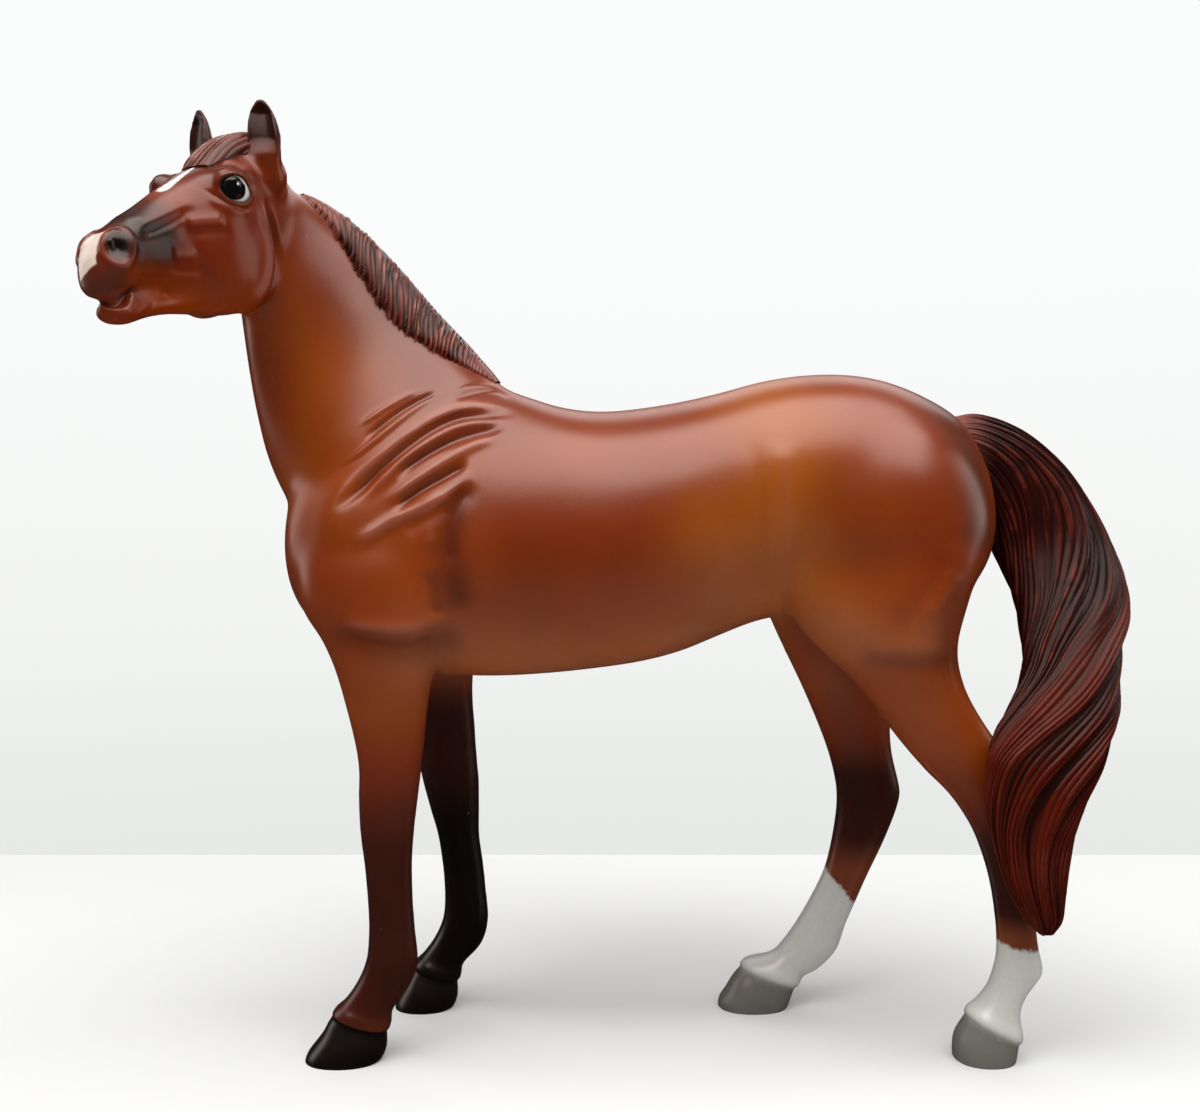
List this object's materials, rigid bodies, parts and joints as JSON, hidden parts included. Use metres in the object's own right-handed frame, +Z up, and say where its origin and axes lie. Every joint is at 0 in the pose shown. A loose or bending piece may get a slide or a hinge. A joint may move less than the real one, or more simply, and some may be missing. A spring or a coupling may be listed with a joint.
{
  "type": "toy horse figure",
  "caption": "Standing toy horse with its head turned to one side, a short carved mane and a long swept tail, moulded in plastic to stand freely on its hooves.",
  "frame": {"origin": "centre of the bounding box seen from above, at the height of the hoof soles", "axes": "+Z up; the horse faces -X with its head turned towards -Y; its left side is at -Y and its right side at +Y"},
  "size_m": [0.189, 0.072, 0.1791],
  "materials": {
    "coat": "satin paint on moulded plastic",
    "face": "satin paint on moulded plastic",
    "ear": "satin paint on moulded plastic",
    "dark_leg": "satin paint on moulded plastic",
    "white_leg": "satin paint on moulded plastic",
    "hair": "satin paint on moulded plastic",
    "tail": "satin paint on moulded plastic"
  },
  "bodies": {
    "root": {"body_shell_left": "coat", "body_shell_right": "coat", "ear_left": "ear", "ear_right": "ear", "foreleg_left": "dark_leg", "foreleg_right": "dark_leg", "forelock": "hair", "head_shell_left": "face", "head_shell_right": "face", "hindleg_left": "white_leg", "hindleg_right": "white_leg", "mane": "hair", "neck_shell_left": "coat", "neck_shell_right": "coat", "tail": "tail"}
  },
  "joints": []
}
